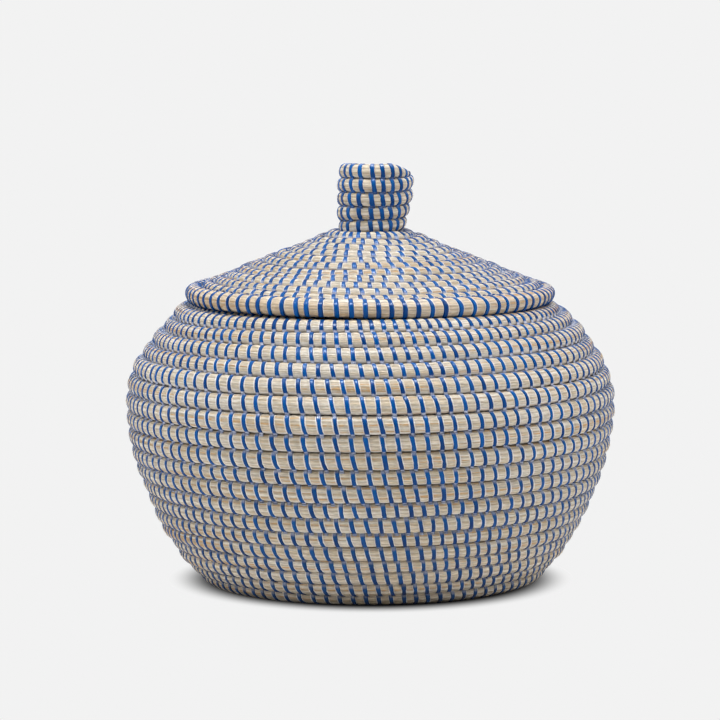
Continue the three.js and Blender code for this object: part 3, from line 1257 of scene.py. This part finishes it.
@dataclass
class Dresser:
    """Gives finished pieces their materials and riders."""

    seagrass: bpy.types.Material
    rim: bpy.types.Material
    knob: bpy.types.Material
    strip: bpy.types.Material
    lid_strip: bpy.types.Material
    rim_strip: bpy.types.Material
    knob_strip: bpy.types.Material

    def coil(self, coil: Coil, node: str, rider: Rider, first: float, last: float,
             slot: Slot = Slot.SEAGRASS, keep_last: bool = False) -> None:
        """Makes the bundle and the strips that stand for one node.

        Args:
            coil: The coil that the node is a length of.
            node: The node's name.
            rider: The body that it rides on.
            first: The turn at which the node starts.
            last: The turn at which it ends.
            slot: The finish of its bundle.
            keep_last: Whether a strip lies on its very end.
        """
        bundle = coil.make_bundle(f"{node}_bundle", first, last)
        strips = coil.make_strips(f"{node}_strips", first, last, keep_last)
        bundle.data.materials.append(self.grass_for(node, slot))
        strips.data.materials.append(self.strip_for(node, slot))
        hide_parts(node)
        for piece in (bundle, strips):
            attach(piece, rider.value)
            log.info("%s: %d faces", piece.name, len(piece.data.polygons))

    def grass_for(self, node: str, slot: Slot) -> bpy.types.Material:
        """The finish of a node's bundle.

        Args:
            node: The node's name.
            slot: The node's slot.

        Returns:
            The material.
        """
        if slot is Slot.RIM:
            return self.rim
        return self.knob if node == "knob_coil" else self.seagrass

    def strip_for(self, node: str, slot: Slot) -> bpy.types.Material:
        """The finish of a node's strips.

        Args:
            node: The node's name.
            slot: The node's slot.

        Returns:
            The material.
        """
        if slot is Slot.RIM:
            return self.rim_strip
        return {"lid_coil": self.lid_strip, "knob_coil": self.knob_strip}.get(node, self.strip)


@dataclass
class Body:
    """The floor and the wall, wound from one bundle without a break."""

    floor_course: float = 0.0086
    foot_course: float = 0.0084
    belly_course: float = 0.00971
    mouth_course: float = 0.0092
    ground_cut: float = 0.1
    foot_radius: float = 0.0904
    foot_slope: float = 44.1
    foot_bend: float = 0.0054
    belly_radius: float = 0.1322
    belly_height: float = 0.1001
    mouth_height: float = 0.1521
    mouth_radius: float = 0.0885
    ledge_width: float = 0.0143
    shoulder_slope: float = 47.0
    ledge_bend: float = 0.0045
    foot_pull: float = 0.0298
    below_belly_pull: float = 0.0282
    above_belly_pull: float = 0.0165
    shoulder_pull: float = 0.025
    coil_start: float = 154.7
    mouth_taper: float = 45.0
    strip_spacing: float = 0.0068
    fewest_strips: float = 7.0
    most_strips: float = 105.0
    wall_nodes: int = 3
    seed: int = 11

    def outline(self) -> Outline:
        """The centre line from the middle of the floor to the edge of the mouth.

        Returns:
            The measured line.
        """
        floor = self.floor_course * (0.5 - self.ground_cut)
        corner = np.array([self.foot_radius, floor])
        rise = heading(self.foot_slope)
        foot = corner + rise * self.foot_bend
        belly = np.array([self.belly_radius, self.belly_height])
        ledge = np.array([self.mouth_radius + self.ledge_width, self.mouth_height])
        fall = heading(-self.shoulder_slope)
        shoulder = ledge + fall * self.ledge_bend
        up = np.array([0.0, 1.0])
        return (
            Outline((0.0, floor), Outside.RIGHT)
            .line((self.foot_radius - self.foot_bend, floor))
            .bend(corner, foot)
            .sweep(foot + rise * self.foot_pull, belly - up * self.below_belly_pull, belly)
            .sweep(belly + up * self.above_belly_pull, shoulder + fall * self.shoulder_pull, shoulder)
            .bend(ledge, (ledge[0] - self.ledge_bend, self.mouth_height))
            .line((self.mouth_radius, self.mouth_height))
            .close()
        )

    def course(self, outline: Outline, along: float) -> float:
        """The height of a course at a length along the outline.

        Args:
            outline: The body's centre line.
            along: The length along it.

        Returns:
            The height.
        """
        floor_end, foot_end, belly_at = outline.ends[:3]
        knots = [0, floor_end, foot_end, belly_at, outline.length]
        heights = [self.floor_course, self.floor_course, self.foot_course, self.belly_course,
                   self.mouth_course]
        return float(np.interp(along, knots, heights))

    def build(self, dresser: Dresser) -> None:
        """Makes the floor coil and the three lengths of the wall.

        Args:
            dresser: What dresses the pieces.
        """
        outline = self.outline()
        start = self.coil_start / 360
        law = SteadyLaw(outline.length, lambda along: self.course(outline, along), start)
        last = law.turn_at(outline.length) - 1

        def strips(turns: np.ndarray) -> np.ndarray:
            """The number of strips in a turn, which grows outwards and never falls."""
            near = law.edge(turns)
            radius, _ = outline.place(near + self.floor_course / 2, np.zeros_like(near))
            counts = np.minimum(2 * math.pi * radius / self.strip_spacing, self.most_strips)
            return np.maximum(np.maximum.accumulate(counts), self.fewest_strips)

        coil = Coil(outline, law, start - INNER_TURN, last, strips, self.seed, ground=0.0,
                    end_taper=self.mouth_taper / 360)
        floor_turn = whole_step(law.turn_at(outline.ends[0]) - 1)
        share = (last - floor_turn) / self.wall_nodes
        lower, belly = (whole_step(floor_turn + number * share) for number in range(1, self.wall_nodes))
        dresser.coil(coil, "base_coil", Rider.BASKET, coil.first, floor_turn)
        dresser.coil(coil, "lower_wall_coil", Rider.BASKET, floor_turn, lower)
        dresser.coil(coil, "belly_coil", Rider.BASKET, lower, belly)
        dresser.coil(coil, "shoulder_coil", Rider.BASKET, belly, last, keep_last=True)


@dataclass
class Lid:
    """The coned lid with its thicker rim, the ring under it and the knob on it."""

    mouth_radius: float
    seat_height: float
    course: float = 0.0073
    rim_course: float = 0.0098
    slope: float = 21.7
    rim_slope: float = 23.0
    rim_bend: float = 0.003
    rim_overlap: float = 0.0096
    seat_gap: float = 0.0003
    lay_over: float = 180.0
    coil_start: float = 90.0
    tail_cut: float = 45.0
    start_share: float = 0.22
    knob_seam: float = 0.0008
    flat_half: float = 0.5
    course_gap: float = 0.0007
    strip_spacing: float = 0.0073
    fewest_strips: float = 27.0
    strip: Strip = Strip(lean=9.0, width=0.00255, jitter=0.09)
    seed: int = 41
    ring_course: float = 0.008
    ring_courses: int = 2
    ring_clearance: float = 0.0015
    ring_coil_start: float = -90.0
    ring_strip: Strip = Strip(lean=9.0)
    ring_bundle: Bundle = Bundle(sway=0.0, bulge=0.0001)
    ring_seed: int = 71
    knob_course: float = 0.0077
    knob_foot_radius: float = 0.0197
    knob_belly_radius: float = 0.02135
    knob_top_radius: float = 0.0207
    knob_height: float = 0.038
    knob_bend: float = 0.01
    knob_lean: float = 5.9
    knob_tilt: float = 3.6
    knob_sink: float = 0.0001
    knob_fit: float = 0.0003
    knob_tuck: float = 0.0024
    knob_coil_end: float = -15.0
    knob_taper: float = 50.0
    knob_strip_spacing: float = 0.0052
    knob_strips: Point = (6.0, 22.5)
    knob_strip: Strip = Strip(lean=-12.0, width=0.0025, drift=0.1, wander=0.08)
    knob_bundle: Bundle = Bundle(sway=0.0001, bulge=0.00025)
    knob_seed: int = 97

    def outline(self) -> Outline:
        """The centre line from the knob's foot down the lid to the edge of its rim.

        Returns:
            The measured line.
        """
        rim_radius = self.mouth_radius + self.rim_overlap
        fall, rim_fall = heading(-self.slope), heading(-self.rim_slope)
        edge = (self.rim_course - self.course_gap) / 2
        thick = self.rim_course / 2
        drop = max(rim_fall[0] * thick, rim_fall[0] * thick * self.flat_half - rim_fall[1] * edge)
        rim = np.array([rim_radius, drop])
        rim_start = rim - rim_fall * self.rim_course / 2
        opening_radius = self.knob_foot_radius - self.knob_tuck + self.knob_fit
        opening = rim_start - fall * (rim_start[0] - opening_radius) / fall[0]
        return (
            Outline(opening, Outside.LEFT)
            .line(rim_start - fall * self.rim_bend)
            .bend(rim_start, rim_start + rim_fall * self.rim_bend)
            .line(rim + rim_fall * self.rim_course / 2)
            .close()
        )

    def build(self, dresser: Dresser) -> None:
        """Makes the lid's coil and rim, the ring and the knob.

        Args:
            dresser: What dresses the pieces.
        """
        outline = self.outline()
        opening = outline.points[0]
        rim_at = outline.length - self.rim_course
        courses = round(rim_at / self.course)
        law = SteppedLaw([rim_at / courses] * courses + [self.rim_course], self.lay_over,
                         self.coil_start / 360)
        first = law.first + self.lay_over / 360 * self.start_share
        last = law.last - self.tail_cut / 360
        rim_turn = whole_step(law.last - 1 - self.lay_over / 360)

        def strips(turns: np.ndarray) -> np.ndarray:
            """The number of strips in a turn, which grows outwards."""
            middle = (law.edge(turns) + law.edge(turns + 1)) / 2
            radius, _ = outline.place(middle, np.zeros_like(middle))
            return np.maximum(2 * math.pi * radius / self.strip_spacing, self.fewest_strips)

        coil = Coil(outline, law, first, last, strips, self.seed, self.strip, lift=self.seat_height,
                    reach_in=self.knob_seam)
        dresser.coil(coil, "lid_coil", Rider.LID, first, rim_turn)
        dresser.coil(coil, "lid_rim_coil", Rider.LID, rim_turn, last, Slot.RIM, keep_last=True)
        self.build_ring(dresser, opening)
        self.build_knob(dresser, self.seat_height + float(opening[1]) - self.knob_sink)

    def build_ring(self, dresser: Dresser, opening: np.ndarray) -> None:
        """Makes the ring under the lid.

        Args:
            dresser: What dresses the pieces.
            opening: The radius and height at which the lid's own coil starts.
        """
        radius = self.mouth_radius - self.ring_clearance - self.ring_course / 2
        place = radius + self.ring_course / 2 * self.flat_half
        slope = math.radians(self.slope)
        top = float(opening[1]) - (place - float(opening[0])) * math.tan(slope)
        top -= self.course / 2 / math.cos(slope) + self.seat_gap
        outline = (
            Outline((radius, top), Outside.LEFT)
            .line((radius, top - self.ring_course * self.ring_courses))
            .close()
        )
        law = SteppedLaw([self.ring_course] * self.ring_courses, self.lay_over,
                         self.ring_coil_start / 360)
        first, last = law.first + law.reach, law.last - law.reach
        count = 2 * math.pi * radius / self.strip_spacing
        coil = Coil(outline, law, first, last, lambda turns: np.full_like(turns, count), self.ring_seed,
                    self.ring_strip, self.ring_bundle, lift=self.seat_height)
        dresser.coil(coil, "locating_ring_coil", Rider.LID, first, last, keep_last=True)

    def build_knob(self, dresser: Dresser, lift: float) -> None:
        """Makes the knob, which leans a little and is open on top.

        Args:
            dresser: What dresses the pieces.
            lift: The height of its foot.
        """
        half = self.knob_course / 2
        corner = (self.knob_foot_radius - half, 0.0)
        foot = (corner[0], self.knob_bend)
        top = (self.knob_top_radius - half, self.knob_height + half)
        bulge = 2 * (self.knob_belly_radius - half) - (foot[0] + top[0]) / 2
        outline = (
            Outline((0.0, 0.0), Outside.RIGHT)
            .line((corner[0] - self.knob_bend, 0.0))
            .bend(corner, foot)
            .bend((bulge, (foot[1] + top[1]) / 2), top)
            .close()
        )
        law = SteadyLaw(outline.length, lambda along: self.knob_course, 0.0)
        last = self.knob_coil_end / 360
        law.start = last - law.turn_at(outline.length - self.knob_course)

        def strips(turn: np.ndarray) -> np.ndarray:
            """The number of strips in a turn, which grows outwards up to a limit."""
            near = law.edge(turn)
            radius, _ = outline.place(near + half, np.zeros_like(near))
            return np.clip(2 * math.pi * radius / self.knob_strip_spacing, *self.knob_strips)

        coil = Coil(outline, law, law.start - INNER_TURN, last, strips, self.knob_seed,
                    self.knob_strip, self.knob_bundle, lift=lift,
                    lean=math.tan(math.radians(self.knob_lean)),
                    tilt=math.tan(math.radians(self.knob_tilt)),
                    end_taper=self.knob_taper / 360)
        dresser.coil(coil, "knob_coil", Rider.LID, coil.first, last, keep_last=True)


@dataclass(frozen=True)
class Lamp:
    """A soft rectangular light, in watts, that faces the middle of the basket."""

    name: str
    place: Place
    size: Point
    power: float
    lights: bool = True
    shines: bool = True
    target: Place = (0.0, 0.0, 0.1)

    def build(self) -> None:
        """Adds the light."""
        light = bpy.data.lights.new(self.name, "AREA")
        light.shape, light.energy = "RECTANGLE", self.power
        light.size, light.size_y = self.size
        lamp = bpy.data.objects.new(self.name, light)
        lamp.visible_diffuse, lamp.visible_glossy = self.lights, self.shines
        lamp.location = self.place
        aim = np.array(self.target) - np.array(self.place)
        dip = math.atan2(math.hypot(aim[0], aim[1]), -aim[2])
        lamp.rotation_euler = (dip, 0.0, math.atan2(aim[1], aim[0]) - math.pi / 2)
        bpy.context.scene.collection.objects.link(lamp)


@dataclass
class Studio:
    """A plain pale floor, soft lights and the camera at the photograph's angle.

    The floor's colour is darkened right under the basket as a painted shadow, and it fades to the
    backdrop's tone round it.
    """

    backdrop: float = 0.888
    floor_size: float = 60.0
    floor_tone: float = 0.9
    floor_shade: float = 0.05
    floor_roughness: float = 0.9
    floor_specular: float = 0.1
    shade_reach: Point = (0.095, 0.126)
    fade_reach: Point = (0.088, 0.114)
    camera_distance: float = 2.0006
    camera_elevation: float = 6.46
    camera_aside: float = -0.00585
    camera_height: float = 0.12315
    lens: float = 178.6
    sensor: float = 36.0
    world_low: float = 0.66
    world_high: float = 0.62
    world_reach: Point = (-0.1, 0.8)
    front_dimming: float = 0.88
    front_reach: Point = (0.1, 0.9)
    lamps: tuple[Lamp, ...] = (
        Lamp("left", (-1.5, -0.9, 1.2), (1.2, 1.2), 9.2, shines=False),
        Lamp("right", (1.5, -0.9, 1.2), (1.2, 1.2), 8.0, shines=False),
        Lamp("top", (0.0, -0.3, 1.9), (1.5, 0.45), 24.0),
        Lamp("shine", (0.0, -0.3, 1.88), (1.5, 0.45), 78.0, lights=False),
    )

    def build(self) -> None:
        """Makes the floor, the world, the lights and the camera."""
        bpy.context.scene.view_settings.view_transform = "Standard"
        self.build_floor()
        self.build_world()
        for lamp in self.lamps:
            lamp.build()
        self.build_camera()

    def build_floor(self) -> None:
        """Makes the floor, which fades to the backdrop away from the basket."""
        bpy.ops.object.select_all(action="DESELECT")
        bpy.ops.mesh.primitive_plane_add(size=self.floor_size, location=(0, 0, 0))
        floor = bpy.context.object
        floor.name = "floor"
        material, graph, shader = new_material("paper floor")
        shader.inputs["Roughness"].default_value = self.floor_roughness
        shader.inputs["Specular IOR Level"].default_value = self.floor_specular
        plain = graph.add("ShaderNodeEmission")
        plain.inputs["Color"].default_value = grey(self.backdrop)
        rays = graph.add("ShaderNodeLightPath").outputs
        seen = graph.math("MAXIMUM", rays["Is Camera Ray"], rays["Is Glossy Ray"])
        seen = graph.math("MAXIMUM", seen, rays["Is Transmission Ray"])
        reach = graph.add("ShaderNodeVectorMath", operation="LENGTH")
        graph.feed(reach.inputs[0], graph.add("ShaderNodeTexCoord").outputs["Object"])
        away = reach.outputs["Value"]
        # Painted shadow: the floor's colour is dark right under the basket.
        tone = graph.blend(graph.between(away, *self.shade_reach), grey(self.floor_shade),
                           grey(self.floor_tone))
        graph.feed(shader.inputs["Base Color"], tone)
        mix = graph.add("ShaderNodeMixShader")
        share = graph.times(seen, graph.between(away, *self.fade_reach))
        for socket, value in zip(mix.inputs, (share, shader.outputs[0], plain.outputs[0])):
            graph.feed(socket, value)
        graph.feed(material.node_tree.nodes["Material Output"].inputs[0], mix.outputs[0])
        floor.data.materials.append(material)

    def build_world(self) -> None:
        """Makes an even grey surround, dimmer in front, that the camera sees as the backdrop."""
        world = bpy.data.worlds.new("studio")
        world.use_nodes = True
        bpy.context.scene.world = world
        graph = Graph(world.node_tree)
        background = world.node_tree.nodes["Background"]
        rays = graph.add("ShaderNodeLightPath").outputs["Is Camera Ray"]
        _, back, up = graph.parts(graph.add("ShaderNodeTexCoord").outputs["Generated"])
        front = graph.between(graph.times(back, -1.0), *self.front_reach)
        height = graph.between(up, *self.world_reach)
        lit = graph.blend(height, grey(self.world_low), grey(self.world_high))
        lit = graph.blend(graph.times(front, self.front_dimming), lit, BLACK)
        graph.feed(background.inputs["Color"], graph.blend(rays, lit, grey(self.backdrop)))

    def build_camera(self) -> None:
        """Makes the camera, level across and looking slightly down."""
        data = bpy.data.cameras.new("camera")
        data.lens = self.lens
        data.sensor_width = self.sensor
        camera = bpy.data.objects.new("camera", data)
        tilt = math.radians(self.camera_elevation)
        camera.location = (
            self.camera_aside,
            -self.camera_distance * math.cos(tilt),
            self.camera_height + self.camera_distance * math.sin(tilt),
        )
        camera.rotation_euler = (math.pi / 2 - tilt, 0.0, 0.0)
        bpy.context.scene.collection.objects.link(camera)
        bpy.context.scene.camera = camera


def finishes() -> Dresser:
    """Makes the finishes of the bundles and of the strips.

    Returns:
        The dresser that gives them out.
    """
    brown = (0.36, 0.23, 0.12, 1.0)
    grasses = (
        Seagrass("natural seagrass", (0.68, 0.64, 0.56, 1.0), (0.60, 0.51, 0.37, 1.0), brown),
        # The rim's stems are paler than the body's, partly their own colour and partly painted light that
        # lifts the rim's shaded lower side.
        Seagrass("rim seagrass", (0.79, 0.74, 0.65, 1.0), (0.70, 0.58, 0.43, 1.0),
                 (0.40, 0.24, 0.11, 1.0), tan_from=(0.34, 0.57), brown_from=(0.6, 0.72), band_share=0.3),
        Seagrass("knob seagrass", (0.78, 0.74, 0.66, 1.0), (0.67, 0.58, 0.44, 1.0), brown,
                 rust_share=0.4),
    )
    strips = (
        BlueStrip("blue strip", (0.66, 0.69, 0.82, 1.0)),
        BlueStrip("lid strip", (0.62, 0.66, 0.79, 1.0), far_wear_and_highlight_to=(0.13, 0.18), painted_highlight_to=(0.2, 0.27)),
        BlueStrip("rim strip", (0.55, 0.58, 0.78, 1.0), near_share=0.0, far_wear_and_highlight_share=0.0,
                  painted_highlight_from=(0.2, 0.26), painted_highlight_to=(0.29, 0.35)),
        BlueStrip("knob strip", (0.42, 0.52, 0.78, 1.0), (0.0, 0.045, 0.2, 1.0),
                  (0.0, 0.105, 0.4, 1.0), near_share=0.25, far_wear_and_highlight_share=0.4),
    )
    grain = StemGrain().group()
    return Dresser(*(grass.material(grain) for grass in grasses), *(strip.material() for strip in strips))


def main() -> None:
    """Builds the basket, the lid and the studio around the frame."""
    logging.basicConfig(level=logging.INFO, format="%(name)s: %(message)s")
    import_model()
    dresser = finishes()
    body = Body()
    body.build(dresser)
    seat = body.mouth_height + body.mouth_course / 2 + Lid.seat_gap
    Lid(mouth_radius=body.mouth_radius, seat_height=seat).build(dresser)
    Studio().build()


if __name__ == "__main__":
    main()
